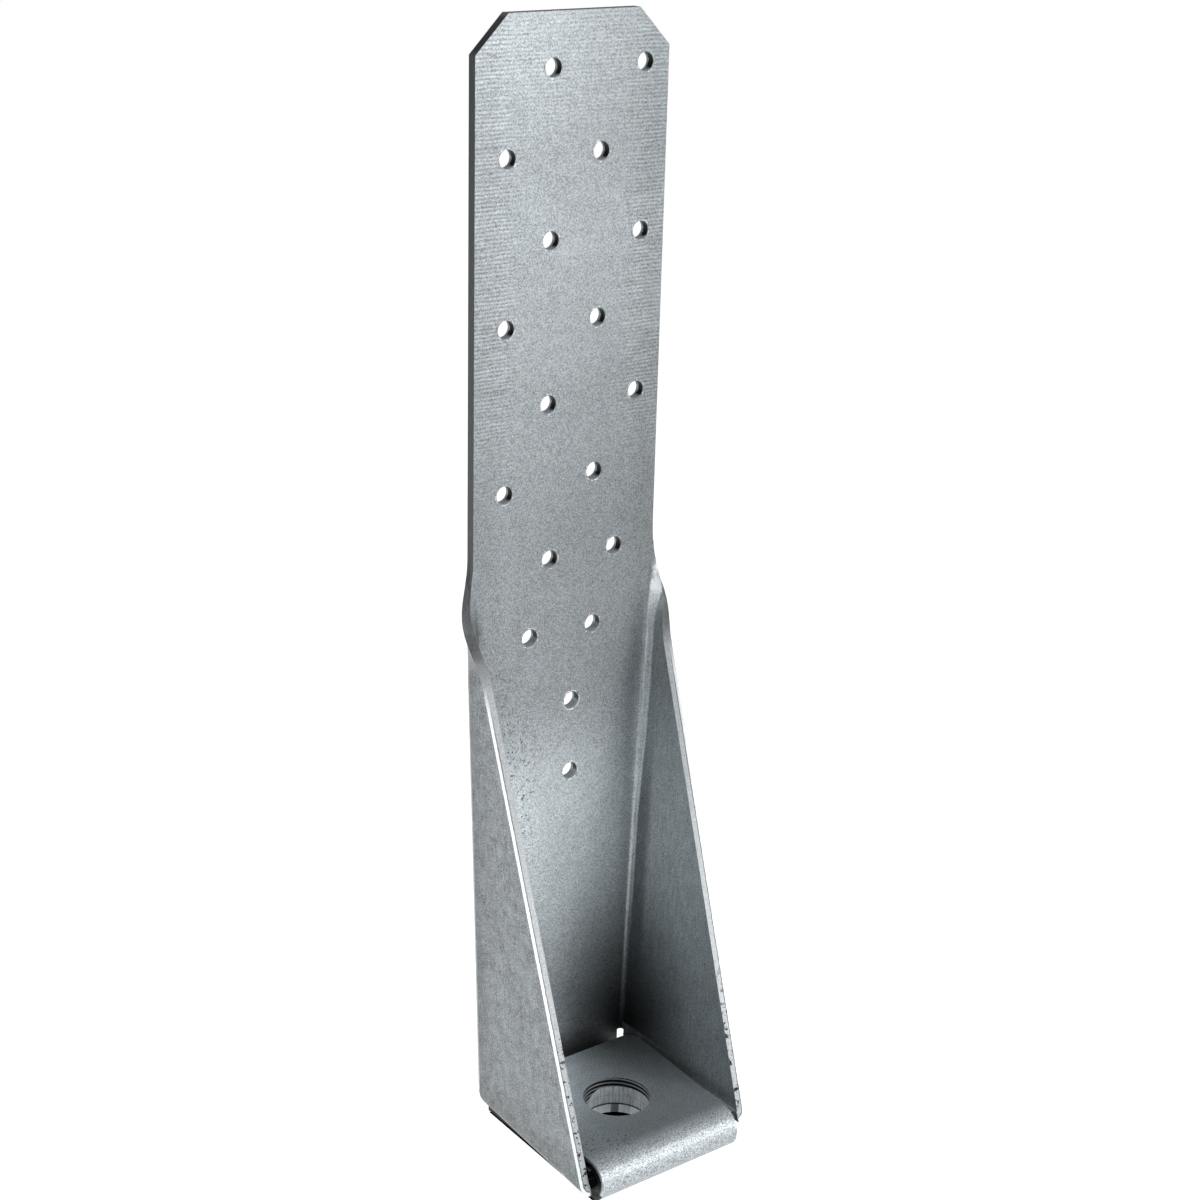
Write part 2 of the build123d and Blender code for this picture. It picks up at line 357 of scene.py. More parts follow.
in_seat = add(tree, MATH, (1, in_seat), operation="SUBTRACT")
near_floor = add(tree, STEP, (z, 13.2, 12.5), **SMOOTH)
in_seat = add(tree, MATH, (in_seat, near_floor), operation="MULTIPLY")
in_front = add(tree, STEP, (y, -21.5, -25.5), **SMOOTH)
on_roll = add(tree, MATH, (in_seat, in_front), operation="MULTIPLY")
print("nodes so far:", len(tree.nodes))

# %% [markdown]
# The tone is a number near 1 that the zinc's colour is multiplied by. Three helpers change
# it, both for the coat's own marks and for painted light and shade: in a soft patch, by a
# pattern, or by a share taken away.

# %% Helpers for the tone
def patch(tree, place, middle, reach):
    """1 in the middle of a soft-edged patch, 0 beyond its reach along each axis."""
    offset = add(tree, VECTOR, (place, middle), operation="SUBTRACT")
    scaled = add(tree, VECTOR, (offset, reach), operation="DIVIDE")
    length = add(tree, VECTOR, (scaled,), operation="LENGTH").outputs["Value"]
    return add(tree, STEP, (length, 1, 0), **SMOOTH)


def push(tree, tone, amount, pattern, share=1.0, middle=0.5):
    """Adds (pattern - middle) * amount * share to the tone."""
    swing = add(tree, MATH, (pattern, amount, -middle * amount), operation="MULTIPLY_ADD")
    return add(tree, MATH, (swing, share, tone), operation="MULTIPLY_ADD")


def dim(tree, tone, amount, share):
    """Takes the amount away from the tone, as far as the share goes."""
    left = add(tree, MATH, (share, -amount, 1), operation="MULTIPLY_ADD")
    return add(tree, MATH, (tone, left), operation="MULTIPLY")


# %% [markdown]
# First come the uneven places that the photograph shows, painted in as light and shade.
# The strap is painted lighter towards its top and on its left, a little darker along its
# edges and at its upper right, and lighter low down, with a painted pool of light on the
# left. At the shoulders the sheet turns: painted shade lies on the left, and a painted
# highlight on the right.

# %% Light and dark on the strap
tone = add(tree, STEP, (z, 190, 255, 0.90, 1.10), **SMOOTH)
near_top = add(tree, STEP, (z, 270, 312, 0, 0.14), **SMOOTH)
tone = add(tree, MATH, (tone, near_top), operation="ADD")
above = add(tree, STEP, (z, 170, 208), **SMOOTH)
below = add(tree, STEP, (z, 282, 256), **SMOOTH)
half_way_up = add(tree, MATH, (above, below), operation="MULTIPLY")
lift = add(tree, MATH, (half_way_up, 0.17, 1), operation="MULTIPLY_ADD")
tone = add(tree, MATH, (tone, lift), operation="MULTIPLY")
low = add(tree, STEP, (z, 135, 92), **SMOOTH)
tone = add(tree, MATH, (low, 0.70, tone), operation="MULTIPLY_ADD")
# Painted pool of light low on the left of the strap.
painted_lit_patch = patch(tree, place, (-20, 28, 88), (24, 10, 34))
tone = add(tree, MATH, (painted_lit_patch, 0.25, tone), operation="MULTIPLY_ADD")
to_the_right = add(tree, STEP, (x, -26, 32, 0.04, -0.19), **SMOOTH)
tone = add(tree, MATH, (tone, to_the_right), operation="ADD")
tone = dim(tree, tone, 0.08, add(tree, STEP, (from_middle, 20, 26), **SMOOTH))
upper_right = patch(tree, place, (26, 28, 305), (40, 10, 45))
tone = dim(tree, tone, 0.12, upper_right)
# Painted shade on the left shoulder.
left_shoulder = patch(tree, place, (-28.3, 27, 152), (2.4, 6, 10))
tone = dim(tree, tone, 0.25, left_shoulder)
tone = add(tree, MIX, {"Factor": in_strap, "A": 1.0, "B": tone}, data_type="FLOAT")
# Painted highlight where the sheet turns at the right shoulder.
right_shoulder = patch(tree, place, (31, 25.4, 154.6), (2.3, 3.0, 3.4))
tone = add(tree, MATH, (right_shoulder, 3.0, tone), operation="MULTIPLY_ADD")
above_shoulder = patch(tree, place, (31, 27, 160), (1.6, 3, 3))
tone = add(tree, MATH, (above_shoulder, 0.4, tone), operation="MULTIPLY_ADD")
print("nodes so far:", len(tree.nodes))

# %% [markdown]
# The flanges are painted lighter inside than outside, as the light falls. Inside, a painted
# highlight runs as a bright band along the fold, wider lower down, with a dull strip of painted
# shade beside it. Outside they are painted darker towards the back and the foot, and a painted
# shadow lies as a dark line where they stand on the floor.

# %% Light and dark on the flanges
inside = patch(tree, place, (29, -2, 72), (200, 60, 70))
inside = add(tree, MATH, (inside, inner_side), operation="MULTIPLY")
tone = add(tree, MATH, (inside, 0.62, tone), operation="MULTIPLY_ADD")
backwards = add(tree, STEP, (y, 14, 27), **SMOOTH)
downwards = add(tree, STEP, (z, 20, 9, 0, 0.9), **SMOOTH)
outside = add(tree, MATH, (backwards, downwards), operation="MAXIMUM")
outside = add(tree, MATH, (outside, outer_side), operation="MULTIPLY")
tone = dim(tree, tone, 0.22, outside)
tone = dim(tree, tone, 0.14, outer_side)
on_floor = add(tree, STEP, (z, 3.2, 1.8), **SMOOTH)
at_side = add(tree, STEP, (from_middle, 24, 26), **SMOOTH)
foot_line = add(tree, MATH, (on_floor, at_side), operation="MULTIPLY")
tone = dim(tree, tone, 0.75, foot_line)

# %% [markdown]
# The seat is painted lightest behind the anchor hole, as a pool of light. The rolled fold in
# front is painted lighter, and painted light and shade shape the lamps' reflection on it into
# two soft lines, a dull one above a bright one.

# %% Light and dark on the seat
seat_light = patch(tree, place, (-12, 16, 12), (44, 40, 6))
seat_light = add(tree, MATH, (seat_light, in_seat), operation="MULTIPLY")
tone = add(tree, MATH, (seat_light, 1.6, tone), operation="MULTIPLY_ADD")
tone = add(tree, MATH, (on_roll, 0.45, tone), operation="MULTIPLY_ADD")
under_top = add(tree, STEP, (z, 11.8, 11.2), **SMOOTH)
over_front = add(tree, STEP, (z, 10.0, 10.6), **SMOOTH)
upper_flank = add(tree, MATH, (under_top, over_front), operation="MULTIPLY")
upper_flank = add(tree, MATH, (upper_flank, on_roll), operation="MULTIPLY")
tone = dim(tree, tone, 0.25, upper_flank)
under_flank = add(tree, STEP, (z, 10.4, 9.8), **SMOOTH)
over_middle = add(tree, STEP, (z, 7.8, 8.8), **SMOOTH)
lower_flank = add(tree, MATH, (under_flank, over_middle), operation="MULTIPLY")
lower_flank = add(tree, MATH, (lower_flank, on_roll), operation="MULTIPLY")
tone = add(tree, MATH, (lower_flank, 0.25, tone), operation="MULTIPLY_ADD")
print("nodes so far:", len(tree.nodes))

# %% [markdown]
# Where the strap meets the right flange, a painted highlight shows the fold as the bright band,
# and the corner of strap, flange and seat is painted dull and dark with shade, because little
# light gets in.

# %% The fold and the corner
band_start = add(tree, STEP, (z, 78, 125, 26.2, 24.3), **SMOOTH)
band = add(tree, MATH, (y, band_start), operation="SUBTRACT")
band = add(tree, STEP, (band, -0.5, 0.4), **SMOOTH)
band = add(tree, MATH, (band, inner_side), operation="MULTIPLY")
on_the_right = add(tree, STEP, (x, 0, 10), **SMOOTH)
band = add(tree, MATH, (band, on_the_right), operation="MULTIPLY")
before_band = add(tree, STEP, (y, 19.5, 22.5), **SMOOTH)
low_down = add(tree, STEP, (z, 120, 85), **SMOOTH)
strip = add(tree, MATH, (before_band, low_down), operation="MULTIPLY")
outside_band = add(tree, MATH, (1, band), operation="SUBTRACT")
strip = add(tree, MATH, (strip, outside_band), operation="MULTIPLY")
strip = add(tree, MATH, (strip, inner_side), operation="MULTIPLY")
tone = dim(tree, tone, 0.5, strip)
tone = add(tree, MATH, (band, 1.3, tone), operation="MULTIPLY_ADD")
corner = patch(tree, place, (26, 28, 6), (42, 42, 68))
less_on_seat = add(tree, MATH, (in_seat, -0.54, 0.92), operation="MULTIPLY_ADD")
corner = add(tree, MATH, (corner, less_on_seat), operation="MULTIPLY")
tone = dim(tree, tone, 1, corner)

# %% [markdown]
# Then comes what is small: the grain all over, clouds and mottling, the roll lines near the
# strap's edges and its top, and scratches up the flanges. The outer sides of the flanges and
# the rolled fold are the coarsest.

# %% The coat's grain and lines
GRAIN_SWING = 2.1

near_edges = add(tree, STEP, (from_middle, 12, 24), **SMOOTH)
high_up = add(tree, STEP, (z, 185, 215), **SMOOTH)
line_share = add(tree, MATH, (near_edges, high_up), operation="MULTIPLY")
at_top = add(tree, STEP, (z, 262, 300, 0, 0.5), **SMOOTH)
line_share = add(tree, MATH, (line_share, at_top), operation="MAXIMUM")
line_share = add(tree, MATH, (line_share, in_strap), operation="MULTIPLY")
small = add(tree, MATH, (grain, GRAIN_SWING, 1 - GRAIN_SWING / 2), operation="MULTIPLY_ADD")
small = push(tree, small, 0.35, cloud)
small = push(tree, small, 0.30, mottle)
small = push(tree, small, 0.8, mottle, outer_side)
small = push(tree, small, 0.75, roll_line, line_share, middle=0.25)
small = push(tree, small, 0.50, scratch, in_flange)
small = push(tree, small, 0.8, grain, outer_side)
small = push(tree, small, 0.8, grain, on_roll)
tone = add(tree, MATH, (tone, small), operation="MULTIPLY")

# %% [markdown]
# Black pits, a millimetre wide, lie low on the left of the strap, in the painted pool of light
# there, and on the left of the seat.

# %% The coat's pits
PIT = 0.9

pits = add(
    tree, NOISE, {"Vector": place, "Scale": 1 / PIT, "Detail": 2, "Roughness": 0.6},
)
pits = add(tree, STEP, (pits, 0.61, 0.65), **SMOOTH)
strap_pits = patch(tree, place, (-20, 28, 98), (16, 8, 52))
seat_pits = patch(tree, place, (-17, -20, 12), (14, 9, 6))
pit_share = add(tree, MATH, (strap_pits, seat_pits), operation="MAXIMUM")
pit_share = add(tree, MATH, (pit_share, 2), operation="MULTIPLY")
pit_share = add(tree, MATH, (pit_share, 1), operation="MINIMUM")
tone = dim(tree, tone, 0.75, add(tree, MATH, (pits, pit_share), operation="MULTIPLY"))

# %% The zinc coat's shader
ZINC_GREY = "#989EA1"
DENT = 0.1 * MM

zinc = add(tree, VECTOR, {0: linear(ZINC_GREY), "Scale": tone}, operation="SCALE")
rough = add(tree, STEP, (cloud, 0.3, 0.7, 0.36, 0.42), **SMOOTH)
rough = add(tree, MATH, (on_roll, 0.10, rough), operation="MULTIPLY_ADD")
dent_strength = add(tree, MATH, (on_roll, 0.6, 0.4), operation="MULTIPLY_ADD")
dents = add(
    tree, "ShaderNodeBump", {"Height": grain, "Strength": dent_strength, "Distance": DENT},
)
shader = add(
    tree, "ShaderNodeBsdfPrincipled",
    {"Base Color": zinc, "Metallic": 0.78, "Roughness": rough, "Normal": dents},
)
add(tree, "ShaderNodeOutputMaterial", {"Surface": shader})

# %% [markdown]
# A shear leaves two zones on a cut edge. The blade first presses into the steel and polishes
# it, and then the rest breaks away grey and ragged, with a thin dark line between the two.
# The depth attribute says which zone a point lies in. The zones show only below the
# shoulder, and low on the flanges the break has black holes.

# %% Sheared edge
BREAK, GRIT = 1.4, 0.5

sheared, tree, place, (x, _, z) = new_finish("sheared_steel_edge")
depth = add(tree, "ShaderNodeAttribute", attribute_name="depth").outputs["Fac"]
ragged = add(
    tree, NOISE, {"Vector": place, "Scale": 1 / BREAK, "Detail": 3, "Roughness": 0.6},
)
grit = add(
    tree, NOISE, {"Vector": place, "Scale": 1 / GRIT, "Detail": 1, "Roughness": 0.6},
)
waver = add(tree, MATH, (ragged, 0.12, -0.06), operation="MULTIPLY_ADD")
level = add(tree, MATH, (depth, waver), operation="ADD")
pressed = add(tree, STEP, (level, 0.34, 0.28), **SMOOTH)
below_shoulder = add(tree, STEP, (z, 142, 130), **SMOOTH)
burnished = add(tree, MATH, (pressed, below_shoulder), operation="MULTIPLY")
tone = add(tree, MATH, (burnished, 0.42, 0.42), operation="MULTIPLY_ADD")
tone = push(tree, tone, 0.35, grit)
line_start = add(tree, STEP, (level, 0.28, 0.34), **SMOOTH)
line_end = add(tree, STEP, (level, 0.46, 0.40), **SMOOTH)
line = add(tree, MATH, (line_start, line_end), operation="MULTIPLY")
line_share = add(tree, STEP, (z, 138, 124), **SMOOTH)
line = add(tree, MATH, (line, line_share), operation="MULTIPLY")
tone = dim(tree, tone, 0.6, line)
torn_out = add(tree, STEP, (ragged, 0.56, 0.61), **SMOOTH)
low_down = add(tree, STEP, (z, 58, 34), **SMOOTH)
holes = add(tree, MATH, (torn_out, low_down), operation="MULTIPLY")
in_break = add(tree, STEP, (level, 0.32, 0.42), **SMOOTH)
holes = add(tree, MATH, (holes, in_break), operation="MULTIPLY")
tone = dim(tree, tone, 0.95, holes)

# %% [markdown]
# The edge is darker from the shoulder up: a little round the bend, with a thin dark line in
# the sheet's middle, and most along the strap's side, which is bare steel and is painted with
# shade as well, as it looks away from the lamps. Painted shade also lies on it at the right
# shoulder, and near the floor and in the loop of the rolled fold it makes the edge almost black.

# %% The sheared edge's dark places
ROLL_AXIS = (0, -24.6, 5.9)

tone = dim(tree, tone, 0.30, add(tree, STEP, (z, 136, 143), **SMOOTH))
side_start = add(tree, STEP, (z, 158, 168), **SMOOTH)
side_end = add(tree, STEP, (z, 313.8, 313.2), **SMOOTH)
strap_side = add(tree, MATH, (side_start, side_end), operation="MULTIPLY")
tone = dim(tree, tone, 0.68, strap_side)
after_outer = add(tree, STEP, (depth, 0.15, 0.30), **SMOOTH)
before_inner = add(tree, STEP, (depth, 0.62, 0.50), **SMOOTH)
middle_line = add(tree, MATH, (after_outer, before_inner), operation="MULTIPLY")
bend_start = add(tree, STEP, (z, 154, 160), **SMOOTH)
bend_end = add(tree, STEP, (z, 178, 166), **SMOOTH)
in_bend = add(tree, MATH, (bend_start, bend_end), operation="MULTIPLY")
middle_line = add(tree, MATH, (middle_line, in_bend), operation="MULTIPLY")
tone = dim(tree, tone, 0.45, middle_line)
# Painted shade on the edge at the right shoulder.
right_shoulder = patch(tree, place, (32.6, 25.2, 153), (2, 3, 3.5))
tone = dim(tree, tone, 0.9, right_shoulder)
tone = dim(tree, tone, 0.94, add(tree, STEP, (z, 3.6, 3.0), **SMOOTH))
from_roll = add(tree, VECTOR, (place, ROLL_AXIS), operation="SUBTRACT")
from_roll = add(tree, VECTOR, (from_roll, (0, 1, 1)), operation="MULTIPLY")
from_roll = add(tree, VECTOR, (from_roll,), operation="LENGTH").outputs["Value"]
in_loop = add(tree, STEP, (from_roll, 5.2, 4.6), **SMOOTH)
from_middle = add(tree, MATH, (x,), operation="ABSOLUTE")
between_flanges = add(tree, STEP, (from_middle, 26.2, 25.8), **SMOOTH)
in_loop = add(tree, MATH, (in_loop, between_flanges), operation="MULTIPLY")
tone = dim(tree, tone, 0.92, in_loop)

# %% The sheared edge's shader
steel = add(tree, VECTOR, {0: linear("#E4E9EC"), "Scale": tone}, operation="SCALE")
dents = add(tree, "ShaderNodeBump", {"Height": ragged, "Strength": 0.3, "Distance": DENT})
shader = add(
    tree, "ShaderNodeBsdfPrincipled",
    {"Base Color": steel, "Metallic": 0.85, "Roughness": 0.38, "Normal": dents},
)
add(tree, "ShaderNodeOutputMaterial", {"Surface": shader})

# %% [markdown]
# A nail punch goes in from the front. The wall that it leaves is grey near the back, where
# the punch rubbed it. Painted shade makes it black towards the front rim on the side that
# looks up, and painted light and shade make the faces that look up lighter than those that
# look down, drawn stronger than a real wall's, so that they show in holes this small.

# %% Punched wall
PUNCH_MARK = 1.0

punched, tree, place, (_, _, z) = new_finish("punched_hole_wall")
normal = add(tree, "ShaderNodeNewGeometry").outputs["Normal"]
facing = add(tree, "ShaderNodeSeparateXYZ", (normal,)).outputs
depth = add(tree, "ShaderNodeAttribute", attribute_name="depth").outputs["Fac"]
ragged = add(
    tree, NOISE, {"Vector": place, "Scale": 1 / PUNCH_MARK, "Detail": 2, "Roughness": 0.6},
)
waver = add(tree, MATH, (ragged, 0.5, -0.25), operation="MULTIPLY_ADD")
level = add(tree, MATH, (depth, waver), operation="ADD")
in_strap_half = add(tree, STEP, (z, 140, 155), **SMOOTH)
low_holes = add(tree, STEP, (facing["Z"], 0.5, 0.0, 0, 0.9), **SMOOTH)
high_holes = add(tree, STEP, (facing["Z"], 0.95, 0.60), **SMOOTH)
side = add(
    tree, MIX, {"Factor": in_strap_half, "A": low_holes, "B": high_holes}, data_type="FLOAT",
)
near_front = add(tree, STEP, (level, 0.22, 0.40), **SMOOTH)
black = add(tree, MATH, (near_front, side), operation="MULTIPLY")
tone = add(tree, STEP, (facing["Z"], -0.6, 0.9, 0.55, 2.2), **SMOOTH)
tone = push(tree, tone, 0.8, ragged)
tone = dim(tree, tone, 0.97, black)
steel = add(tree, VECTOR, {0: linear("#9AA1A5"), "Scale": tone}, operation="SCALE")
shader = add(
    tree, "ShaderNodeBsdfPrincipled",
    {"Base Color": steel, "Metallic": 0.95, "Roughness": 0.5},
)
add(tree, "ShaderNodeOutputMaterial", {"Surface": shader})

# %% [markdown]
# The anchor hole runs through four plies of the sheet. The top of its wall is dark, with
# thin bright ridges round it that reach further down on the left. Below, the punch burnished
# the plies bright, and a thin black gap lies above the lowest one.

# %% Wall of the anchor hole
PLY = 2.95
RIDGE_APART, RIDGE_SLANT = 1.25, 0.045
STREAK_WIDTH, STREAK_LENGTH = 0.7, 8

bored, tree, place, (x, _, z) = new_finish("anchor_hole_wall")
long_upright = add(tree, VECTOR, (place, (1, 1, STREAK_LENGTH)), operation="DIVIDE")
streaks = add(
    tree, NOISE,
    {"Vector": long_upright, "Scale": 1 / STREAK_WIDTH, "Detail": 2, "Roughness": 0.6},
)
ridge = add(tree, MATH, (x, RIDGE_SLANT, z), operation="MULTIPLY_ADD")
ridge = add(tree, MATH, (ridge, 2 * math.pi / RIDGE_APART), operation="MULTIPLY")
ridge = add(tree, MATH, (ridge,), operation="SINE")
ridges = add(tree, STEP, (ridge, 0, 0.8, 0.03, 0.9), **SMOOTH)
ridges_end = add(tree, STEP, (x, -9.5, 2, 1.35 * PLY, 2.97 * PLY), **SMOOTH)
above_end = add(tree, MATH, (z, ridges_end), operation="SUBTRACT")
ridged = add(tree, STEP, (above_end, 0, 0.15), **SMOOTH)
bright = add(tree, MATH, (streaks, 1.9, 0.15), operation="MULTIPLY_ADD")
lowest_ply = add(tree, STEP, (z, 1.1 * PLY, 0.9 * PLY), **SMOOTH)
bright = add(tree, MATH, (lowest_ply, 0.45, bright), operation="MULTIPLY_ADD")
# A darker patch on the lowest ply.
dark_patch_start = add(tree, STEP, (x, 4.4, 4.7), **SMOOTH)
dark_patch_end = add(tree, STEP, (x, 6.6, 6.3), **SMOOTH)
dark_patch = add(tree, MATH, (dark_patch_start, dark_patch_end), operation="MULTIPLY")
dark_patch = add(tree, MATH, (dark_patch, lowest_ply), operation="MULTIPLY")
bright = dim(tree, bright, 0.7, dark_patch)
tone = add(tree, MIX, {"Factor": ridged, "A": bright, "B": ridges}, data_type="FLOAT")
tone = dim(tree, tone, 0.97, add(tree, MATH, (z, PLY, 0.24), operation="COMPARE"))
steel = add(tree, VECTOR, {0: linear("#D2D8DB"), "Scale": tone}, operation="SCALE")
metal = add(tree, MATH, (ridged, 0.5, 0.25), operation="MULTIPLY_ADD")
shader = add(
    tree, "ShaderNodeBsdfPrincipled",
    {"Base Color": steel, "Metallic": metal, "Roughness": 0.32},
)
add(tree, "ShaderNodeOutputMaterial", {"Surface": shader})

# %% [markdown]
# Hands and tools rub an arris first, so the rounded corners are worn where they stand proud,
# the strap's front arris and the flanges' outer ones, and are painted near white as a highlight.
# The others keep the coat's grey. The burrs round the nail holes have this finish too, bright in
# some places and dark in others.

# %% Worn arris with a painted highlight
LUMP = 0.8

worn_highlit, tree, place, (_, y, z) = new_finish("worn_highlit_zinc_arris")
depth = add(tree, "ShaderNodeAttribute", attribute_name="depth").outputs["Fac"]
burr = add(tree, "ShaderNodeAttribute", attribute_name="burr").outputs["Fac"]
lumps = add(
    tree, NOISE, {"Vector": place, "Scale": 1 / LUMP, "Detail": 2, "Roughness": 0.6},
)
up_high = add(tree, STEP, (z, 138, 143), **SMOOTH)
from_inner = add(tree, MATH, (1, depth), operation="SUBTRACT")
proud = add(tree, MIX, {"Factor": up_high, "A": from_inner, "B": depth}, data_type="FLOAT")
bright_burr = add(tree, STEP, (lumps, 0.50, 0.60, 0.2, 1), **SMOOTH)
bright_burr = add(tree, MATH, (burr, bright_burr), operation="MULTIPLY")
proud = add(tree, MATH, (proud, bright_burr), operation="MAXIMUM")
tone = add(tree, MATH, (proud, 2.3, 0.6), operation="MULTIPLY_ADD")
tone = push(tree, tone, 0.8, lumps)
specks = add(tree, STEP, (lumps, 0.46, 0.42), **SMOOTH)
more_low_down = add(tree, STEP, (z, 145, 135, 0.2, 1), **SMOOTH)
specks = add(tree, MATH, (specks, more_low_down), operation="MULTIPLY")
tone = dim(tree, tone, 0.9, add(tree, MATH, (specks, burr), operation="MULTIPLY"))

# %% [markdown]
# The upper right of each nail hole's rim is painted with shade, and so is the arris at the
# floor. A few painted glints sit on the back of the anchor hole's rim.

# %% The worn arris's painted shade and painted glints
SEAT_TOP = 11.8

hole_rim = add(tree, "ShaderNodeAttribute", attribute_name="hole_rim").outputs["Fac"]
hole_rim = add(tree, STEP, (hole_rim, 0.4, 0.6), **SMOOTH)
normal = add(tree, "ShaderNodeNewGeometry").outputs["Normal"]
facing = add(tree, "ShaderNodeSeparateXYZ", (normal,)).outputs
not_up = add(tree, STEP, (facing["Z"], 0.55, 0.35), **SMOOTH)
to_the_left = add(tree, STEP, (facing["X"], 0.1, -0.1), **SMOOTH)
shaded = add(tree, MATH, (not_up, to_the_left), operation="MULTIPLY")
shaded = add(tree, MATH, (shaded, hole_rim), operation="MULTIPLY")
more_up_high = add(tree, STEP, (z, 140, 155, 0.5, 1), **SMOOTH)
shaded = add(tree, MATH, (shaded, more_up_high), operation="MULTIPLY")
tone = dim(tree, tone, 0.97, shaded)
tone = dim(tree, tone, 0.9, add(tree, STEP, (z, 3.6, 3.0), **SMOOTH))
rim_middle = (0, BORE_MIDDLE.y / MM, SEAT_TOP)
from_hole = add(tree, VECTOR, (place, rim_middle), operation="DISTANCE").outputs["Value"]
painted_glints = add(tree, STEP, (lumps, 0.54, 0.60), **SMOOTH)
on_rim = add(tree, STEP, (from_hole, 12.5, 12.0), **SMOOTH)
painted_glints = add(tree, MATH, (painted_glints, on_rim), operation="MULTIPLY")
at_back = add(tree, STEP, (y, 1, 5), **SMOOTH)
painted_glints = add(tree, MATH, (painted_glints, at_back), operation="MULTIPLY")
tone = add(tree, MATH, (painted_glints, 5, tone), operation="MULTIPLY_ADD")
steel = add(tree, VECTOR, {0: linear(ZINC_GREY), "Scale": tone}, operation="SCALE")
shader = add(
    tree, "ShaderNodeBsdfPrincipled",
    {"Base Color": steel, "Metallic": 0.95, "Roughness": 0.35},
)
add(tree, "ShaderNodeOutputMaterial", {"Surface": shader})

# %% The finishes in the order of the faces' numbers
for material in (rolled, sheared, punched, bored, worn_highlit):
    sheet.data.materials.append(material)
    print(material.name, len(material.node_tree.nodes), "nodes")
rounding.material = list(sheet.data.materials).index(worn_highlit)

# %% [markdown]
# A nail punch pushes up a fine ragged burr round each hole. All the burrs follow one rule, so
# Geometry Nodes make them: a thin ring, set on a point at every hole, turned by a random
# angle, and made ragged by noise. The tree's inputs are the sizes that can be measured.

# %% The tree that sets a burr round each nail hole
BURR_LUMP = 0.9 * MM

burr_tree = bpy.data.node_groups.new("nail_hole_burrs", "GeometryNodeTree")
interface = burr_tree.interface
interface.new_socket("Points", in_out="INPUT", socket_type="NodeSocketGeometry")
for name, kind in (("Ring radius", "Float"), ("Burr thickness", "Float"), ("Raggedness", "Float"),
                   ("Seed", "Int"), ("Finish", "Material")):
    interface.new_socket(name, in_out="INPUT", socket_type="NodeSocket" + kind)
interface.new_socket("Burrs", in_out="OUTPUT", socket_type="NodeSocketGeometry")
given = add(burr_tree, "NodeGroupInput").outputs
ring = add(
    burr_tree, "GeometryNodeCurvePrimitiveCircle",
    {"Resolution": 48, "Radius": given["Ring radius"]},
)
section = add(
    burr_tree, "GeometryNodeCurvePrimitiveCircle",
    {"Resolution": 6, "Radius": given["Burr thickness"]},
)
one_burr = add(
    burr_tree, "GeometryNodeCurveToMesh", {"Curve": ring, "Profile Curve": section},
)
angle = add(
    burr_tree, "FunctionNodeRandomValue",
    {"Min": (math.pi / 2, 0, 0), "Max": (math.pi / 2, 2 * math.pi, 0), "Seed": given["Seed"]},
    data_type="FLOAT_VECTOR",
)
set_down = add(
    burr_tree, "GeometryNodeInstanceOnPoints",
    {"Points": given["Points"], "Instance": one_burr, "Rotation": angle},
)
real = add(burr_tree, "GeometryNodeRealizeInstances", {"Geometry": set_down})
bumps = add(burr_tree, NOISE, {"Scale": 1 / BURR_LUMP, "Detail": 1}).outputs["Color"]
centred = add(burr_tree, VECTOR, (bumps, (0.5, 0.5, 0.5)), operation="SUBTRACT")
push_out = add(burr_tree, VECTOR, {0: centred, "Scale": given["Raggedness"]}, operation="SCALE")
ragged_burr = add(
    burr_tree, "GeometryNodeSetPosition", {"Geometry": real, "Offset": push_out},
)
soft = add(burr_tree, "GeometryNodeSetShadeSmooth", {"Geometry": ragged_burr})
dressed = add(
    burr_tree, "GeometryNodeSetMaterial", {"Geometry": soft, "Material": given["Finish"]},
)
add(burr_tree, "NodeGroupOutput", {"Burrs": dressed})
print("burr tree:", len(burr_tree.nodes), "nodes")

# %% Burrs on all the nail holes
hole_points = bpy.data.meshes.new("nail_hole_points")
hole_points.from_pydata(nail_holes, [], [])
seeds = bpy.data.objects.new("nail_hole_points", hole_points)
bpy.context.scene.collection.objects.link(seeds)
setting = seeds.modifiers.new("burrs", "NODES")
setting.node_group = burr_tree
burr_sizes = {"Ring radius": NAIL_RADIUS + ARRIS_RADIUS, "Burr thickness": 0.10 * MM,
              "Raggedness": 0.35 * MM, "Seed": 7, "Finish": worn_highlit}
for item in interface.items_tree:
    if item.in_out == "INPUT" and item.name in burr_sizes:
        setting[item.identifier] = burr_sizes[item.name]
graph = bpy.context.evaluated_depsgraph_get()
burr_mesh = bpy.data.meshes.new_from_object(seeds.evaluated_get(graph))
bpy.data.objects.remove(seeds)
burr_mesh.name = "nail_hole_burrs"

# %% [markdown]
# The new mesh gets the mark that the worn finish looks for. An empty material slot comes with
# it and is dropped, and its faces are turned to look outwards.

# %% The burrs' mark, material and normals
marks = burr_mesh.attributes.new("burr", "FLOAT", "POINT")
marks.data.foreach_set("value", [1.0] * len(burr_mesh.vertices))
while burr_mesh.materials and burr_mesh.materials[0] is None:
    burr_mesh.materials.pop(index=0)
burr_mesh.polygons.foreach_set("material_index", [0] * len(burr_mesh.polygons))
work = bmesh.new()
work.from_mesh(burr_mesh)
bmesh.ops.recalc_face_normals(work, faces=work.faces)
work.to_mesh(burr_mesh)
work.free()
burrs = bpy.data.objects.new("nail_hole_burrs", burr_mesh)
bpy.context.scene.collection.objects.link(burrs)
print("burrs:", len(burr_mesh.polygons), "faces, finish:", [m.name for m in burr_mesh.materials])

# %% Put the pieces in the solid's place
for piece in (sheet, burrs):
    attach(piece, "root")
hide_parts("bracket")

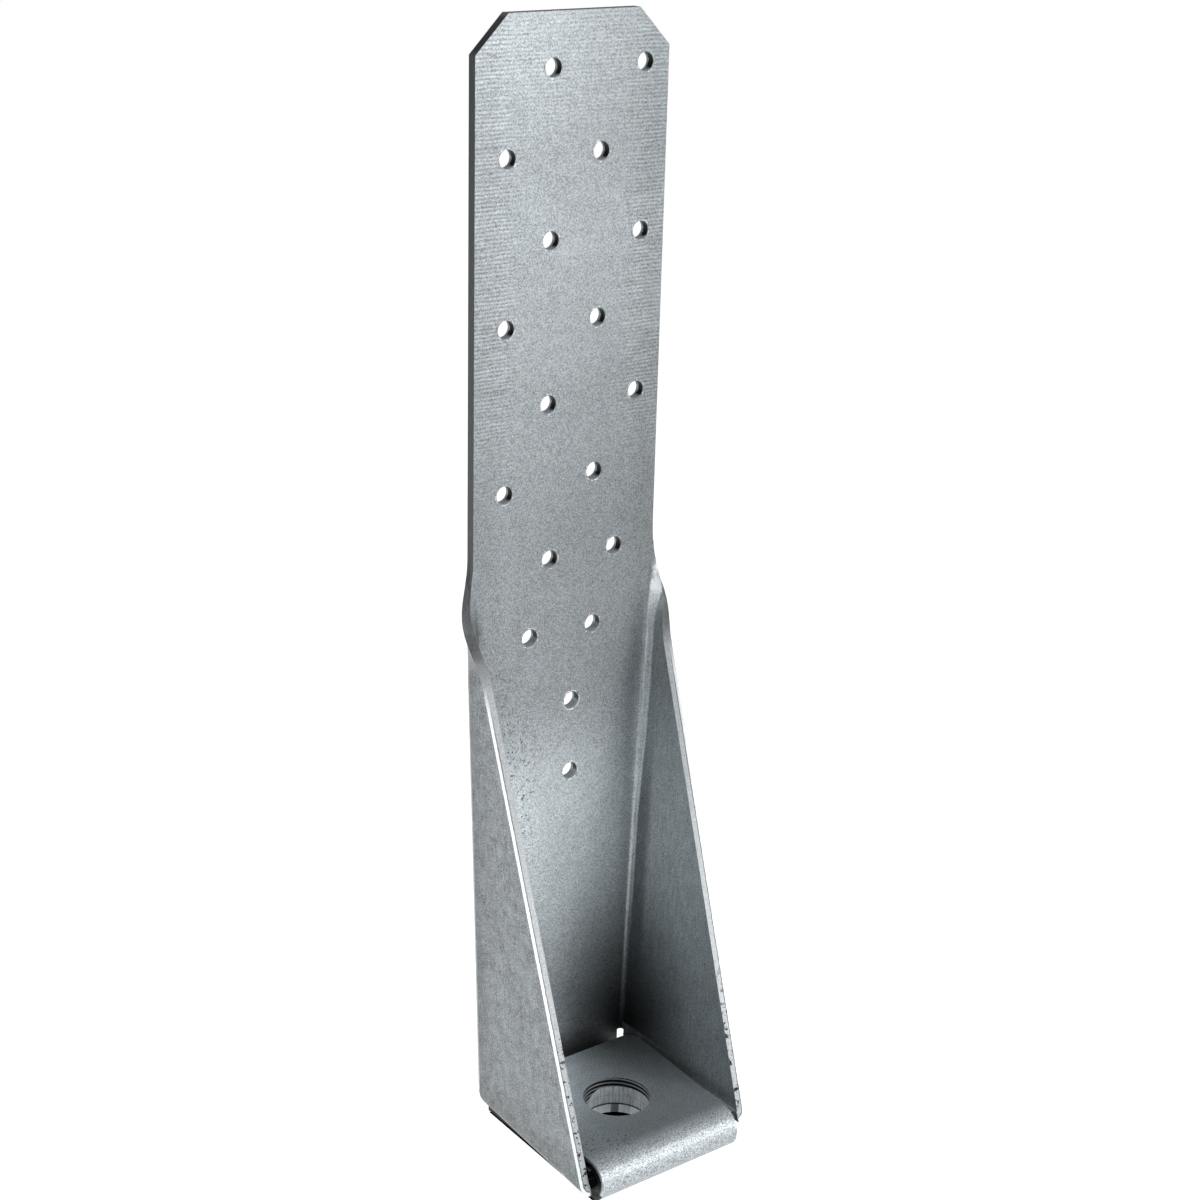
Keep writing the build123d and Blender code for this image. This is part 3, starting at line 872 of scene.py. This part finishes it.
# %% [markdown]
# The floor is white. What the camera, a reflection or a transparent ray sees of it glows at
# nearly full white, because the photograph's ground is burnt out, and it keeps a faint
# shadow. For diffuse light it is an ordinary white floor. Under the foot the floor is painted
# black as a shadow, where no light gets in: the glow stops there, and that dark ground shows
# through the anchor hole.

# %% Floor
FLOOR_REACH = 6
FOOT_SIDE, FOOT_MIDDLE_Y, FOOT_HALF_DEPTH = 25.1, -0.4, 25.9
FLOOR_WHITE, SHADOW_SHARE, FLOOR_GLOW = 0.8, 0.35, 0.93

floor_mesh = bpy.data.meshes.new("floor")
floor_corners = [(-FLOOR_REACH, -FLOOR_REACH, 0), (FLOOR_REACH, -FLOOR_REACH, 0),
                 (FLOOR_REACH, FLOOR_REACH, 0), (-FLOOR_REACH, FLOOR_REACH, 0)]
floor_mesh.from_pydata(floor_corners, [], [(0, 1, 2, 3)])
floor = bpy.data.objects.new("floor", floor_mesh)
bpy.context.scene.collection.objects.link(floor)

white_floor, tree, place, (x, y, _) = new_finish("white_studio_floor")
path = add(tree, "ShaderNodeLightPath").outputs
seen = add(tree, MATH, (path["Is Camera Ray"], path["Is Glossy Ray"]), operation="MAXIMUM")
seen = add(tree, MATH, (seen, path["Is Transmission Ray"]), operation="MAXIMUM")
from_middle = add(tree, MATH, (x,), operation="ABSOLUTE")
# Painted shadow: the floor under the foot is black.
under_foot_painted_shadow = add(tree, MATH, (from_middle, FOOT_SIDE), operation="LESS_THAN")
under_deep = add(tree, MATH, (y, FOOT_MIDDLE_Y, FOOT_HALF_DEPTH), operation="COMPARE")
under_foot_painted_shadow = add(tree, MATH, (under_foot_painted_shadow, under_deep), operation="MULTIPLY")
open_floor = add(tree, MATH, (1, under_foot_painted_shadow), operation="SUBTRACT")
white = add(tree, "ShaderNodeBsdfDiffuse", {"Color": (*[FLOOR_WHITE] * 3, 1)})
faint = add(tree, MATH, (open_floor, SHADOW_SHARE), operation="MULTIPLY")
faint = add(tree, "ShaderNodeCombineColor", (faint, faint, faint))
grey = add(tree, "ShaderNodeBsdfDiffuse", {"Color": faint})
glow = add(tree, MATH, (open_floor, FLOOR_GLOW), operation="MULTIPLY")
glow = add(tree, "ShaderNodeEmission", {"Strength": glow})
lit = add(tree, "ShaderNodeAddShader", (grey, glow))
mixed = add(tree, "ShaderNodeMixShader", (seen, white, lit))
add(tree, "ShaderNodeOutputMaterial", {"Surface": mixed})
floor_mesh.materials.append(white_floor)
print("floor:", 2 * FLOOR_REACH, "m across")

# %% [markdown]
# Five soft square lamps and a pale world stand round it, at a level where a grey card looks
# the grey that it is. The largest share comes from high on the left. Two small lamps near
# the right, with grids that narrow their beams, light the strap's upper half and make the
# pale pool on the rolled front of the seat.

# %% World and lamps
WORLD_STRENGTH = 0.2
LOWER_STRAP = (0, 0, 170)

world = bpy.data.worlds.new("studio")
bpy.context.scene.world = world
world.use_nodes = True
sky = world.node_tree.nodes["Background"].inputs
sky["Color"].default_value = (1, 1, 1, 1)
sky["Strength"].default_value = WORLD_STRENGTH


def lamp(name, place_mm, aim_mm, size_mm, watts, spread=180):
    """A square area lamp at one point, turned to another, with the spread that a grid leaves."""
    data = bpy.data.lights.new(name, "AREA")
    data.size = size_mm * MM
    data.energy = watts
    data.spread = math.radians(spread)
    lamp_object = bpy.data.objects.new(name, data)
    way = (Vector(aim_mm) - Vector(place_mm)) * MM
    stand = Matrix.Translation(Vector(place_mm) * MM)
    lamp_object.matrix_world = stand @ way.to_track_quat("-Z", "Y").to_matrix().to_4x4()
    bpy.context.scene.collection.objects.link(lamp_object)
    print(name, watts, "W,", round(way.length, 2), "m away")


lamp("high_left", (-696, -123, 1013), LOWER_STRAP, 500, 6.9)
lamp("low_front", (185, -1046, 455), LOWER_STRAP, 500, 1.25)
lamp("high_right", (454, -542, 1013), LOWER_STRAP, 500, 4.3)
lamp("upper_right", (266, -387, 308), (0, 30, 255), 150, 0.038, spread=60)
lamp("near_right", (250, -400, 95), (10, -28, 6), 150, 0.034, spread=40)

bpy.context.scene.view_settings.view_transform = "Standard"
